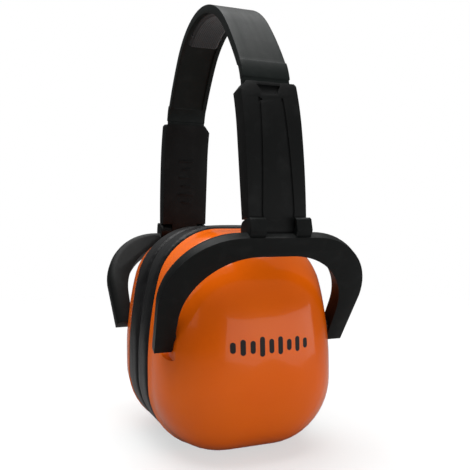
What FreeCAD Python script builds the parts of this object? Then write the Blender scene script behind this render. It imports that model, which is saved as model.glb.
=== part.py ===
"""Foldable earmuff: a sprung headband carries two cups on sliding sleeves and hinged yokes.

Millimetres. X runs from ear to ear, -Y is the front, Z is up and the cups stand on Z = 0.
The right side (+X) is drawn, and the left side is the same sub-part turned half a turn about Z.
"""
import FreeCAD, Part
import math
import os
import re
import Sketcher

Vector, Rotation, Placement = FreeCAD.Vector, FreeCAD.Rotation, FreeCAD.Placement

sizes = {
    # headband: arcs of the outer surface, one after the other, each ending at its own angle
    "band_width": 20.6, "band_thick": 3.6, "rib_width": 2.2, "channel_deep": 1.2,
    "crown_radius": 47, "crown_end": 34, "shoulder_end": 48, "arm_radius": 150, "arm_end": 58,
    "bend_radius": 24, "sleeve_lean": 7, "flex_gap": 0.15,
    "slot_long": 6, "slot_wide": 1.8, "slot_place": 17, "slot_edge": 2.1,
    "pad_thick": 2.4, "pad_clear": 0.2, "pad_trim": 2, "tab_high": 2.6,
    # tail of the band, inside the adjuster sleeve
    "tail_thick": 2.6, "tail_gap": 2, "notch_deep": 0.6, "notch_radius": 1.1, "notch_pitch": 5, "notch_start": 5,
    # adjuster sleeve
    "sleeve_length": 55.5, "side_wall": 2.1, "outer_wall": 2.3, "inner_wall": 1.4,
    "slot_clear": 0.2, "slot_floor": 2.5, "bow_radius": 260,
    "tongue_width": 14.4, "knuckle_radius": 3.2, "hinge_drop": 4.4,
    "pin_radius": 1.2, "pin_fit": 0.05, "pin_short": 0.4, "pin_end_gap": 0.1,
    # yoke
    "tilt_x": 38, "tilt_z": 54, "yoke_over": 4.763, "lug_back": 3.75, "yoke_depth": 7, "bevel": 3.6,
    "bar_above": 1.9, "bar_high": 10, "outer_flat": 14, "inner_flat": 7, "corner_wide": 9.3, "corner_ease": 0.5,
    "outer_drop": 30.5, "leg_gap": 0.3, "leg_thick": 7.6, "leg_drop": 5.4,
    "lug_proud": 0.6, "lug_radius": 3.6, "lug_clear": 0.3, "lug_room": 0.3, "lug_root": 3,
    "stud_radius": 2.6, "stud_long": 4, "stud_fit": 0.08,
    # cup shell: an outline with a flat foot, drawn in to a domed face
    "cup_height": 98, "cup_half": 41.3, "low_radius": 30, "top_radius": 28, "side_straight": 9.13,
    "side_angle": 16, "rim_x": 18.8, "face_x": 58, "dome_power": 2.4, "dome_centre": 46,
    "flange_thick": 3, "flange_step": 0.8, "cup_wall": 2.6, "recess_deep": 5.6, "recess_room": 3.4,
    "boss_wall": 2.2, "boss_cap": 1.6,
    # inside the cup, and the cushion
    "plate_thick": 2, "plate_clear": 0.1, "ear_beside": 23.3, "ear_below": 20, "ear_above": 22,
    "liner_inset": 15.5, "liner_back": 14.2,
    "frame_thick": 1.2, "frame_inset": 1.6, "frame_lift": 0.4, "cushion_gap": 0.3, "cushion_grow": 0.7,
    "cushion_lift": 1.1, "cushion_round": 6.5, "skin": 0.8,
}

doc = FreeCAD.newDocument("Earmuff")
sheet = doc.addObject("Spreadsheet::Sheet", "Sizes")
for row, (alias, size) in enumerate(sizes.items(), 1):
    sheet.set(f"A{row}", alias)
    sheet.set(f"B{row}", str(size))
    sheet.setAlias(f"B{row}", alias)
doc.recompute()


def bound(text):
    """The expression with each size's name pointing at its cell."""
    return re.sub(r"[a-z_]+", lambda w: "Sizes." + w[0] if w[0] in sizes else w[0], str(text))


def worth(text):
    return float(sheet.evalExpression(bound(text)))


def bind(thing, prop, text):
    thing.setExpression(prop, bound(text))


def new_body(label):
    body = doc.addObject("PartDesign::Body", label)
    body.Label = label
    return body


def new_sketch(body, plane, offset="0"):
    """An empty sketch on one of the body's own planes, or parallel to it."""
    sketch = body.newObject("Sketcher::SketchObject", body.Name + "_sketch")
    base = [f for f in body.Origin.OriginFeatures if f.Role == plane][0]
    sketch.AttachmentSupport = [(base, "")]
    sketch.MapMode = "FlatFace"
    bind(sketch, "AttachmentOffset.Base.z", offset)
    return sketch


def arc_between(p, q, radius):
    """The short arc from p to q: to the left for a positive radius, to the right for a negative one."""
    chord = q - p
    left = Vector(-chord.y, chord.x, 0).normalize()
    reach = math.sqrt(max(radius**2 - (chord.Length / 2) ** 2, 0))
    centre = (p + q) / 2 + left * math.copysign(reach, radius)
    first, last = (p, q) if radius > 0 else (q, p)
    start = math.atan2(first.y - centre.y, first.x - centre.x)
    end = math.atan2(last.y - centre.y, last.x - centre.x)
    circle = Part.Circle(centre, Vector(0, 0, 1), abs(radius))
    return Part.ArcOfCircle(circle, start, end if end > start else end + 2 * math.pi)


def outline(sketch, corners):
    """A closed loop. A corner is (x, y), or (x, y, radius) where an arc leads to the next corner.

    A half circle is held by its centre's height, because a radius would say what its ends do.
    """
    spots = [Vector(worth(c[0]), worth(c[1]), 0) for c in corners]
    edges = []
    for n, corner in enumerate(corners):
        p, q = spots[n], spots[(n + 1) % len(spots)]
        radius = worth(corner[2]) if len(corner) > 2 else 0
        shape = arc_between(p, q, radius) if radius else Part.LineSegment(p, q)
        starts_at = 2 if radius < 0 else 1
        edges.append((sketch.addGeometry(shape), starts_at, radius))
    for n, (edge, start, radius) in enumerate(edges):
        after, after_start, _ = edges[(n + 1) % len(edges)]
        sketch.addConstraint(Sketcher.Constraint("Coincident", edge, 3 - start, after, after_start))
        for kind, text, value in (("DistanceX", corners[n][0], spots[n].x),
                                  ("DistanceY", corners[n][1], spots[n].y)):
            at = sketch.addConstraint(Sketcher.Constraint(kind, -1, 1, edge, start, value))
            bind(sketch, f"Constraints[{at}]", text)
        if radius and 2 * abs(radius) - (spots[(n + 1) % len(spots)] - spots[n]).Length < 0.001:
            at = sketch.addConstraint(Sketcher.Constraint("DistanceY", -1, 1, edge, 3, spots[n].y))
            bind(sketch, f"Constraints[{at}]", corners[n][1])
        elif radius:
            at = sketch.addConstraint(Sketcher.Constraint("Radius", edge, abs(radius)))
            bind(sketch, f"Constraints[{at}]", f"abs({corners[n][2]})")


def circle(sketch, x, y, radius):
    ring = Part.Circle(Vector(worth(x), worth(y), 0), Vector(0, 0, 1), worth(radius))
    edge = sketch.addGeometry(ring)
    for kind, text in (("DistanceX", x), ("DistanceY", y)):
        at = sketch.addConstraint(Sketcher.Constraint(kind, -1, 1, edge, 3, worth(text)))
        bind(sketch, f"Constraints[{at}]", text)
    at = sketch.addConstraint(Sketcher.Constraint("Radius", edge, worth(radius)))
    bind(sketch, f"Constraints[{at}]", radius)


def box_corners(x_low, y_low, x_high, y_high):
    return [(x_low, y_low), (x_high, y_low), (x_high, y_high), (x_low, y_high)]


def sweep(body, sketch, length, kind="Pad", side="Symmetric", reverse=False):
    """Pad or pocket the sketch, and check that it changed the solid."""
    before = body.Shape.Volume if body.Tip else 0
    feature = body.newObject("PartDesign::" + kind, f"{body.Name}_{kind}")
    feature.Profile = sketch
    feature.SideType = side
    feature.Reversed = reverse
    bind(feature, "Length", length)
    doc.recompute()
    if abs(body.Shape.Volume - before) < 0.01:
        raise RuntimeError(f"{feature.Name} changes nothing")
    return feature


def place(body, side, spot=Vector(), turn=Rotation()):
    """Put a right-side sub-part in place, turned half a turn about Z for the left side."""
    half_turn = Rotation(Vector(0, 0, 1), 180 if side == "left" else 0)
    body.Placement = Placement(Vector(), half_turn) * Placement(spot, turn)


def arc_point(centre, radius, angle):
    """Expressions for the point at an angle from the vertical, about a centre (x, z)."""
    return (f"({centre[0]}) + ({radius}) * sin(({angle}) * 1 deg)",
            f"({centre[1]}) + ({radius}) * cos(({angle}) * 1 deg)")


# The band is drawn about the crown's centre, and its outer surface goes arc by arc:
# each centre lies on the radius through the last arc's end.
crown_centre = ("0", "0")
arm_centre = arc_point(crown_centre, "crown_radius - arm_radius", "shoulder_end")
bend_centre = arc_point(arm_centre, "arm_radius - bend_radius", "arm_end")
sleeve_top = arc_point(bend_centre, "bend_radius", "90 - sleeve_lean")
crown_edge = arc_point(crown_centre, "crown_radius", "crown_end")
arm_edge = arc_point(arm_centre, "arm_radius", "arm_end")

# In the sleeve's own frame x = 0 is the band's outer surface and z = 0 the sleeve's top.
sleeve_width = "(band_width + 2 * slot_clear + 2 * side_wall)"
tail_length = "(sleeve_length - slot_floor - tail_gap)"
slot_back = "(tail_thick + slot_clear)"
sleeve_in, sleeve_out = f"-{slot_back} - inner_wall", "slot_clear + outer_wall"
hinge_across = f"(({sleeve_in}) + ({sleeve_out})) / 2"
hinge_down = "(sleeve_length + hinge_drop)"
fold_x = (f"{sleeve_top[0]} + {hinge_across} * cos(sleeve_lean * 1 deg)"
          f" + {hinge_down} * sin(sleeve_lean * 1 deg)")
fold_below_crown = (f"-({sleeve_top[1]} + {hinge_across} * sin(sleeve_lean * 1 deg)"
                    f" - {hinge_down} * cos(sleeve_lean * 1 deg))")

# The yoke reaches from the tilt axis over the cup's top to the fold hinge, and carries the band.
yoke_reach = "(cup_height - tilt_z + yoke_over)"
fold_z = f"tilt_z + sqrt({yoke_reach}^2 - (({fold_x}) - tilt_x)^2)"
# It is flat in a plane that leans out so that the fold axis lies lug_back behind that plane.
# In its frame x runs across, y up the lean and z outwards, and the tilt axis is the origin.
fold_up, fold_out = f"sqrt({yoke_reach}^2 - lug_back^2)", "-lug_back"
yoke_lean = f"(asin((({fold_x}) - tilt_x) / {yoke_reach}) + asin(lug_back / {yoke_reach})) / 1 deg"
lug_outer = f"({sleeve_width} / 2 + lug_proud)"
stud_back = "(cup_half - recess_deep + leg_gap)"
recess_radius = "sqrt(leg_drop^2 + (yoke_depth / 2)^2) + recess_room"


def crown_spot():
    """The crown's centre, above the fold hinges by the band's own height."""
    return Vector(0, 0, worth(fold_z) + worth(fold_below_crown))


def in_degrees(gap, radius):
    return f"{gap} / ({radius}) * 180 / pi"


def crown_strip(deep_from, deep_to, end):
    """The crown's arc between two depths below the outer surface, out to the same angle each way."""
    low, high = f"crown_radius - ({deep_to})", f"crown_radius - ({deep_from})"
    return [(*arc_point(crown_centre, high, end), f"{high}"),
            arc_point(crown_centre, high, f"-({end})"),
            (*arc_point(crown_centre, low, f"-({end})"), f"-({low})"),
            arc_point(crown_centre, low, end)]


def arm_strip(deep_from, deep_to, trim="0"):
    """The arm between two depths: the crown's radius first, then its own longer radius."""
    start = f"crown_end + {in_degrees('flex_gap', 'crown_radius')} + ({trim})"
    finish = f"arm_end - {in_degrees('flex_gap', 'arm_radius')} - ({trim}) / 2"
    r1_out, r1_in = f"crown_radius - ({deep_from})", f"crown_radius - ({deep_to})"
    r2_out, r2_in = f"arm_radius - ({deep_from})", f"arm_radius - ({deep_to})"
    return [(*arc_point(crown_centre, r1_in, start), f"-({r1_in})"),
            (*arc_point(crown_centre, r1_in, "shoulder_end"), f"-({r2_in})"),
            arc_point(arm_centre, r2_in, finish),
            (*arc_point(arm_centre, r2_out, finish), f"{r2_out}"),
            (*arc_point(crown_centre, r1_out, "shoulder_end"), f"{r1_out}"),
            arc_point(crown_centre, r1_out, start)]


def slot_outlines(sketch, inset="0"):
    """The crown's four slots, in two pairs, drawn in by a clearance for the pad's tabs."""
    for x in ("slot_place", "-slot_place"):
        for k in ("", "-"):
            y = f"{k}(band_width / 2 - slot_edge - slot_long / 2)"
            outline(sketch, box_corners(f"{x} - slot_wide / 2 + {inset}", f"{y} - slot_long / 2 + {inset}",
                                        f"{x} + slot_wide / 2 - {inset}", f"{y} + slot_long / 2 - {inset}"))


def headband_crown():
    """The top of the band, with the channel and the four slots that hold the comfort pad."""
    body = new_body("headband_crown")
    profile = new_sketch(body, "XZ_Plane")
    outline(profile, crown_strip("0", "band_thick", "crown_end"))
    sweep(body, profile, "band_width")
    channel = new_sketch(body, "XZ_Plane")
    outline(channel, crown_strip("band_thick - channel_deep", "band_thick + 1", "crown_end + 2"))
    sweep(body, channel, "band_width - 2 * rib_width", "Pocket")
    slots = new_sketch(body, "XY_Plane", "crown_radius + 1")
    slot_outlines(slots)
    sweep(body, slots, "crown_radius", "Pocket", "One side")
    place(body, "right", crown_spot())


def crown_pad():
    """A soft strip in the crown's channel, with a tab up through each slot."""
    body = new_body("crown_pad")
    profile = new_sketch(body, "XZ_Plane")
    outline(profile, crown_strip("band_thick - channel_deep", "band_thick - channel_deep + pad_thick",
                                 "crown_end - pad_trim"))
    sweep(body, profile, "band_width - 2 * rib_width - 2 * pad_clear")
    tabs = new_sketch(body, "XY_Plane", "sqrt((crown_radius - band_thick)^2 - slot_place^2)")
    slot_outlines(tabs, "pad_clear")
    sweep(body, tabs, "tab_high", side="One side")
    place(body, "right", crown_spot())


def headband_arm(side):
    body = new_body("headband_arm_" + side)
    profile = new_sketch(body, "XZ_Plane")
    outline(profile, arm_strip("0", "band_thick"))
    sweep(body, profile, "band_width")
    channel = new_sketch(body, "XZ_Plane")
    outline(channel, arm_strip("band_thick - channel_deep", "band_thick + 1", "-1"))
    sweep(body, channel, "band_width - 2 * rib_width", "Pocket")
    place(body, side, crown_spot())


def headband_tail(side):
    """The band's end: a short bend, then a straight tongue with adjustment notches."""
    body = new_body("headband_tail_" + side)
    thin = "bend_radius - tail_thick"
    lean = "90 - sleeve_lean"
    end_out = (f"{sleeve_top[0]} + {tail_length} * sin(sleeve_lean * 1 deg)",
               f"{sleeve_top[1]} - {tail_length} * cos(sleeve_lean * 1 deg)")
    end_in = (f"{end_out[0]} - tail_thick * cos(sleeve_lean * 1 deg)",
              f"{end_out[1]} - tail_thick * sin(sleeve_lean * 1 deg)")
    profile = new_sketch(body, "XZ_Plane")
    outline(profile, [(*arc_point(bend_centre, thin, "arm_end"), f"-({thin})"),
                      arc_point(bend_centre, thin, lean), end_in, end_out,
                      (*arc_point(bend_centre, "bend_radius", lean), "bend_radius"),
                      arc_point(bend_centre, "bend_radius", "arm_end")])
    sweep(body, profile, "band_width")
    notches = new_sketch(body, "XZ_Plane")
    deep = "(tail_thick + notch_radius - notch_deep)"
    for step in range(7):
        along = f"({tail_length} - notch_start - {step} * notch_pitch)"
        circle(notches,
               f"{sleeve_top[0]} + {along} * sin(sleeve_lean * 1 deg) - {deep} * cos(sleeve_lean * 1 deg)",
               f"{sleeve_top[1]} - {along} * cos(sleeve_lean * 1 deg) - {deep} * sin(sleeve_lean * 1 deg)",
               "notch_radius")
    sweep(body, notches, "band_width / 2", "Pocket")
    place(body, side, crown_spot())


def in_sleeve_frame(body, side):
    spot = crown_spot() + Vector(worth(sleeve_top[0]), 0, worth(sleeve_top[1]))
    place(body, side, spot, Rotation(Vector(0, 1, 0), -worth("sleeve_lean")))


def adjuster_sleeve(side):
    """A slotted sleeve with a bowed outer wall, and a hinge tongue below it."""
    body = new_body("adjuster_sleeve_" + side)
    profile = new_sketch(body, "XZ_Plane")
    outline(profile, [(sleeve_in, "-sleeve_length"), (sleeve_out, "-sleeve_length", "bow_radius"),
                      (sleeve_out, "0"), (sleeve_in, "0")])
    sweep(body, profile, sleeve_width)
    tongue = new_sketch(body, "XZ_Plane")
    low, high = f"{hinge_across} - knuckle_radius", f"{hinge_across} + knuckle_radius"
    outline(tongue, [(low, f"-{hinge_down}", "knuckle_radius"), (high, f"-{hinge_down}"),
                     (high, "slot_floor / 2 - sleeve_length"), (low, "slot_floor / 2 - sleeve_length")])
    sweep(body, tongue, "tongue_width")
    slot = new_sketch(body, "XZ_Plane")
    outline(slot, box_corners(f"-{slot_back}", "slot_floor - sleeve_length", "slot_clear", "1"))
    sweep(body, slot, "band_width + 2 * slot_clear", "Pocket")
    bore = new_sketch(body, "XZ_Plane")
    circle(bore, hinge_across, f"-{hinge_down}", "pin_radius + pin_fit")
    sweep(body, bore, sleeve_width, "Pocket")
    in_sleeve_frame(body, side)


def hinge_pin(side):
    body = new_body("fold_pin_" + side)
    rod = new_sketch(body, "XZ_Plane")
    circle(rod, hinge_across, f"-{hinge_down}", "pin_radius")
    sweep(body, rod, f"2 * ({lug_outer} - pin_short)")
    in_sleeve_frame(body, side)


def yoke(side):
    """A hoop over the cup: two legs with inward studs, a top bar and a pair of hinge lugs."""
    body = new_body("yoke_" + side)
    leg_out, outer = f"({stud_back} + leg_thick)", f"({stud_back} + corner_wide)"
    bar_top, bar_low = f"({fold_up} + bar_above)", f"({fold_up} + bar_above - bar_high)"
    outer_start, outer_round = f"({bar_top} - outer_drop)", "(outer_drop + corner_ease)"
    inner_round = f"({stud_back} - inner_flat)"
    inner_start = f"({bar_low} - {inner_round})"
    hoop = new_sketch(body, "XY_Plane")
    outline(hoop, [(leg_out, "-leg_drop"), (outer, outer_start, outer_round),
                   ("outer_flat", bar_top), ("-outer_flat", bar_top, outer_round),
                   (f"-{outer}", outer_start), (f"-{leg_out}", "-leg_drop"), (f"-{stud_back}", "-leg_drop"),
                   (f"-{stud_back}", inner_start, f"-{inner_round}"), ("-inner_flat", bar_low),
                   ("inner_flat", bar_low, f"-{inner_round}"), (stud_back, inner_start),
                   (stud_back, "-leg_drop")])
    sweep(body, hoop, "yoke_depth")
    flat_hoop = body.Tip
    chamfer = body.newObject("PartDesign::Chamfer", body.Name + "_bevel")
    chamfer.Base = (flat_hoop, back_outer_edges(flat_hoop.Shape, worth(f"{stud_back} + leg_thick / 2"),
                                                worth(f"({bar_top} + {bar_low}) / 2")))
    bind(chamfer, "Size", "bevel")
    doc.recompute()
    lugs = new_sketch(body, "YZ_Plane")
    outline(lugs, [(f"{bar_top} - lug_root", "-yoke_depth / 2"),
                   (f"{fold_up} - lug_radius * 0.6", f"{fold_out} - lug_radius * 0.8"),
                   (f"{fold_up} + lug_radius * 0.8", f"{fold_out} - lug_radius * 0.6"),
                   (f"{fold_up} + lug_radius * 0.8", f"{fold_out} + lug_radius * 0.6"),
                   (f"{bar_top} - lug_root", "yoke_depth / 2 - lug_proud")])
    sweep(body, lugs, f"2 * {lug_outer}")
    knuckle = new_sketch(body, "YZ_Plane")
    circle(knuckle, fold_up, fold_out, "lug_radius")
    sweep(body, knuckle, f"2 * {lug_outer}")
    room = new_sketch(body, "YZ_Plane")
    circle(room, fold_up, fold_out, "knuckle_radius + lug_clear + lug_room")
    sweep(body, room, "tongue_width + 2 * lug_clear", "Pocket")
    bore = new_sketch(body, "YZ_Plane")
    circle(bore, fold_up, fold_out, "pin_radius + pin_fit")
    sweep(body, bore, f"2 * ({lug_outer} - pin_short + pin_end_gap)", "Pocket")
    studs = new_sketch(body, "YZ_Plane")
    circle(studs, "0", "0", "stud_radius")
    sweep(body, studs, f"{leg_out} + {stud_back}")
    between = new_sketch(body, "YZ_Plane")
    circle(between, "0", "0", "stud_radius + 1")
    sweep(body, between, f"2 * ({stud_back} - stud_long)", "Pocket")
    lean = math.radians(worth(yoke_lean))
    across, up = Vector(0, 1, 0), Vector(math.sin(lean), 0, math.cos(lean))
    place(body, side, Vector(worth("tilt_x"), 0, worth("tilt_z")),
          Rotation(across, up, across.cross(up), "ZYX"))


def back_outer_edges(hoop, beyond, above):
    """The edges of the hoop's back face on its outer outline: outside its legs' middles, or over its bar's."""
    back = hoop.BoundBox.ZMin
    names = []
    for n, edge in enumerate(hoop.Edges, 1):
        middle = edge.valueAt((edge.FirstParameter + edge.LastParameter) / 2)
        on_back = all(abs(v.Z - back) < 0.01 for v in edge.Vertexes)
        if on_back and (middle.y > above or abs(middle.x) > beyond):
            names.append(f"Edge{n}")
    return names


def cup_outline(sketch, grow="0", scale="1", lift="0"):
    """The cup's outline, grown outwards, then scaled about the dome's centre and lifted."""
    knee_z = "(cup_height - top_radius + top_radius * sin(side_angle * 1 deg))"
    hip_z = "(low_radius + side_straight)"
    side_radius = f"(({knee_z} - {hip_z}) / sin(side_angle * 1 deg))"
    side_x = f"(cup_half - {side_radius} * (1 - cos(side_angle * 1 deg)))"
    flat_x = f"({side_x} - top_radius * cos(side_angle * 1 deg))"
    half = [("cup_half - low_radius", f"-({grow})", f"low_radius + ({grow})"),
            (f"cup_half + ({grow})", "low_radius", "0"),
            (f"cup_half + ({grow})", hip_z, f"{side_radius} + ({grow})"),
            (f"{side_x} + ({grow}) * cos(side_angle * 1 deg)",
             f"{knee_z} + ({grow}) * sin(side_angle * 1 deg)", f"top_radius + ({grow})"),
            (flat_x, f"cup_height + ({grow})", "0")]
    mirrored = [(f"-({x})", z) for x, z, _ in half[::-1]]
    radii = [corner[2] for corner in half[-2::-1]] + ["0"]
    loop = half + [(x, z, radius) for (x, z), radius in zip(mirrored, radii)]
    outline(sketch, [(f"({scale}) * ({x})",
                      f"dome_centre + ({scale}) * (({z}) - dome_centre) + ({lift})",
                      f"({scale}) * ({radius})") for x, z, radius in loop])


def ear_hole(sketch, grow="0"):
    """The oval that the ear goes through."""
    half_width = "(cup_half - ear_beside)"
    wide = f"({half_width} + ({grow}))"
    low, high = f"ear_below + {half_width}", f"cup_height - ear_above - {half_width}"
    outline(sketch, [(f"-{wide}", low, wide), (wide, low), (wide, high, wide), (f"-{wide}", high)])


dome_steps = (0, 0.2, 0.38, 0.54, 0.68, 0.8, 0.89, 0.95, 0.985, 0.998)


def dome(body, grow, deep):
    """A loft from the rim to the face through outlines that shrink along a superellipse."""
    sections = []
    for step in dome_steps:
        sketch = new_sketch(body, "YZ_Plane", f"rim_x + {step} * ({deep})")
        cup_outline(sketch, grow, f"(1 - {step}^dome_power)^(1 / dome_power)")
        sections.append(sketch)
    loft = body.newObject("PartDesign::AdditiveLoft", body.Name + "_loft")
    loft.Profile, loft.Sections = sections[0], sections[1:]
    doc.recompute()


def shell(side):
    """The cup: a domed wall with a flange round the rim and a bored recess for each yoke stud."""
    outside = new_body("shell_outside_" + side)
    dome(outside, "-flange_step", "face_x - rim_x")
    flange = new_sketch(outside, "YZ_Plane", "rim_x")
    cup_outline(flange)
    sweep(outside, flange, "flange_thick", side="One side")
    for flip in ("", "-"):
        recess = new_sketch(outside, "XZ_Plane", f"{flip}(cup_half - recess_deep)")
        circle(recess, "tilt_x", "tilt_z", recess_radius)
        sweep(outside, recess, "cup_half", "Pocket", "One side", reverse=not flip)
    inside = new_body("shell_inside_" + side)
    dome(inside, "-flange_step - cup_wall", "face_x - rim_x - cup_wall")
    for flip in ("", "-"):
        boss = new_sketch(inside, "XZ_Plane", f"{flip}({stud_back} - stud_long - boss_cap)")
        circle(boss, "tilt_x", "tilt_z", f"{recess_radius} + boss_wall")
        sweep(inside, boss, "cup_half", "Pocket", "One side", reverse=not flip)
    hollow = doc.addObject("Part::Cut", "shell_hollow_" + side)
    hollow.Base, hollow.Tool = outside, inside
    bore = doc.addObject("Part::Cylinder", "shell_bore_" + side)
    bind(bore, "Radius", "stud_radius + stud_fit")
    bind(bore, "Height", "2 * cup_half")
    bore.Placement = Placement(Vector(worth("tilt_x"), worth("cup_half"), worth("tilt_z")),
                               Rotation(Vector(1, 0, 0), 90))
    cup = doc.addObject("Part::Cut", "cup_shell_" + side)
    cup.Base, cup.Tool = hollow, bore
    doc.recompute()
    place(cup, side)


def slab(label, side, grow, start, thick, hole="0", lift="0"):
    """A flat piece of the cup's outline with the ear's oval through it."""
    body = new_body(label + "_" + side)
    face = new_sketch(body, "YZ_Plane", start)
    cup_outline(face, grow, lift=lift)
    ear_hole(face, hole)
    sweep(body, face, thick, side="One side")
    return body


def round_nose(body, at, radius):
    """Round both edges of a slab's face that looks at the head."""
    flat_slab = body.Tip
    fillet = body.newObject("PartDesign::Fillet", body.Name + "_nose")
    fillet.Base = (flat_slab, [f"Edge{n}" for n, edge in enumerate(flat_slab.Shape.Edges, 1)
                               if all(abs(v.X - worth(at)) < 0.01 for v in edge.Vertexes)])
    bind(fillet, "Radius", radius)
    doc.recompute()


def cup_insides(side):
    """The seal plate, the foam liner behind it, and the cushion on its snap-in frame."""
    place(slab("seal_plate", side, "-flange_step - cup_wall - plate_clear", "rim_x", "plate_thick"), side)
    place(slab("cup_liner", side, "-liner_inset", "rim_x + plate_thick",
               "face_x - rim_x - plate_thick - liner_back"), side)
    frame_x = "rim_x - frame_thick"
    place(slab("cushion_frame", side, "-frame_inset", frame_x, "frame_thick",
               lift="frame_lift"), side)
    foam = slab("cushion_foam", side, "cushion_grow - skin", "cushion_gap + skin",
                f"{frame_x} - cushion_gap - skin", "skin", "cushion_lift")
    round_nose(foam, "cushion_gap + skin", "cushion_round - skin")
    blank = slab("cushion_blank", side, "cushion_grow", "cushion_gap",
                 f"{frame_x} - cushion_gap", "0", "cushion_lift")
    round_nose(blank, "cushion_gap", "cushion_round")
    place(foam, side)
    place(blank, side)
    cover = doc.addObject("Part::Cut", "cushion_cover_" + side)
    cover.Base, cover.Tool = blank, foam


headband_crown()
crown_pad()
for side in ("right", "left"):
    headband_arm(side)
    headband_tail(side)
    adjuster_sleeve(side)
    hinge_pin(side)
    yoke(side)
    shell(side)
    cup_insides(side)
doc.recompute()

sided = ("headband_arm", "headband_tail", "adjuster_sleeve", "fold_pin", "yoke", "cup_shell",
         "seal_plate", "cup_liner", "cushion_frame", "cushion_foam", "cushion_cover")
nodes = ["headband_crown", "crown_pad"] + [f"{name}_{side}" for name in sided for side in ("right", "left")]
for thing in doc.Objects:
    if {"Invalid", "Error"} & set(thing.State):
        raise RuntimeError(f"{thing.Label} failed: {thing.State}")
os.makedirs("parts", exist_ok=True)
for node in nodes:
    shape = doc.getObjectsByLabel(node)[0].Shape
    if shape.isNull() or not shape.isValid():
        raise RuntimeError(f"{node} has no valid shape")
    shape.exportStep(f"parts/{node}.step")
    print(f"{node}: {len(shape.Solids)} solid, {shape.Volume / 1000:.2f} cm3")
crown_z = crown_spot().z
print(f"crown centre z {crown_z:.3f}, top z {crown_z + worth('crown_radius'):.3f}")
print(f"fold axis x {worth(fold_x):.3f} z {worth(fold_z):.3f}, yoke lean {worth(yoke_lean):.3f}")
for name, (x, z) in (("sleeve top", sleeve_top), ("crown edge", crown_edge), ("arm edge", arm_edge)):
    print(f"{name} x {worth(x):.3f} z {worth(z) + crown_z:.3f}")
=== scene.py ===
import bmesh
import bpy
import math
from mathutils import Matrix, Vector


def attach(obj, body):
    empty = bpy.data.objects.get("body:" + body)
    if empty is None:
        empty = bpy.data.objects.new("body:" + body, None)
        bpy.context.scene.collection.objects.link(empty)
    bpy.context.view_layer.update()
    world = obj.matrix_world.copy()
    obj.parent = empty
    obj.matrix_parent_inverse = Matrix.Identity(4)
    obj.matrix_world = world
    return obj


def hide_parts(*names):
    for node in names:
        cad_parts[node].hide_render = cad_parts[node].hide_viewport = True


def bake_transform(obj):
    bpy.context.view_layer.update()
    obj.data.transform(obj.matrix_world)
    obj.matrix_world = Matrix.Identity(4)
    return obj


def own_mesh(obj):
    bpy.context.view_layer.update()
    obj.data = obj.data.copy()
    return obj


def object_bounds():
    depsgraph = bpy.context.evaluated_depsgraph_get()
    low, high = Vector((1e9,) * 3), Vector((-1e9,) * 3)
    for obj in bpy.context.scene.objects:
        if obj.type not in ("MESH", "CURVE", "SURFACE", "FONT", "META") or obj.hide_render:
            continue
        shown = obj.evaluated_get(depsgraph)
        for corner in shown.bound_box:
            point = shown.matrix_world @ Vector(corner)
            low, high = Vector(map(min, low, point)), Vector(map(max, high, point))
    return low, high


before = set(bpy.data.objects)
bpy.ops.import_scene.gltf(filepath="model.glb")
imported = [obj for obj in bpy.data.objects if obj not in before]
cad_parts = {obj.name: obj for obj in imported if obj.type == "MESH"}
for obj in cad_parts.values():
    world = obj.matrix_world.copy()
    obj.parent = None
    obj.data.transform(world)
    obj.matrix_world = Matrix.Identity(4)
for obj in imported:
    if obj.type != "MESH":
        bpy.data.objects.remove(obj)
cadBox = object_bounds()
sides = (("right", 1), ("left", -1))


def mm(*lengths):  # millimetres to metres, as one number or a point
    return Vector([length / 1000 for length in lengths]) if len(lengths) > 1 else lengths[0] / 1000


# ---- shared ways of working ----

def only(*things):
    if bpy.context.object and bpy.context.object.mode != "OBJECT":
        bpy.ops.object.mode_set(mode="OBJECT")
    bpy.ops.object.select_all(action="DESELECT")
    for thing in things:
        thing.select_set(True)
    bpy.context.view_layer.objects.active = things[-1]


def edit(piece):
    only(piece)
    bpy.ops.object.mode_set(mode="EDIT")


def leave():
    bpy.ops.object.mode_set(mode="OBJECT")


def choose(piece, what, test):  # test gets each element's middle and its normal
    bpy.ops.mesh.select_mode(type=what)
    bpy.ops.mesh.select_all(action="DESELECT")
    mesh = bmesh.from_edit_mesh(piece.data)
    mesh.normal_update()
    for item in {"VERT": mesh.verts, "EDGE": mesh.edges, "FACE": mesh.faces}[what]:
        if what == "VERT":
            spot, facing = item.co, item.normal
        elif what == "FACE":
            spot, facing = item.calc_center_median(), item.normal
        else:
            first, last = item.verts[0].co, item.verts[1].co
            spot, facing = (first + last) / 2, (last - first).normalized()
        item.select_set(bool(test(spot, facing)))
    mesh.select_flush_mode()
    bmesh.update_edit_mesh(piece.data)


def cut(spot, facing, **choices):  # bisects everything in the mesh, and leaves it all selected
    bpy.ops.mesh.select_all(action="SELECT")
    bpy.ops.mesh.bisect(plane_co=spot, plane_no=facing, **choices)


def shift(x, y, z):
    bpy.ops.transform.translate(value=(x, y, z))


def scaleAbout(centre, x, y, z):
    bpy.ops.transform.resize(value=(x, y, z), center_override=centre)


def push(x, y, z):  # extrudes the selected faces
    bpy.ops.mesh.extrude_region_move(TRANSFORM_OT_translate={"value": (x, y, z)})


def treat(piece, kind, **settings):  # adds one modifier and applies it
    only(piece)
    modifier = piece.modifiers.new(kind.title(), kind)
    for name, value in settings.items():
        setattr(modifier, name, value)
    bpy.ops.object.modifier_apply(modifier=modifier.name)


def carve(piece, cutter, how="DIFFERENCE"):
    treat(piece, "BOOLEAN", object=cutter, operation=how, solver="EXACT")
    bpy.data.objects.remove(cutter)


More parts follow.
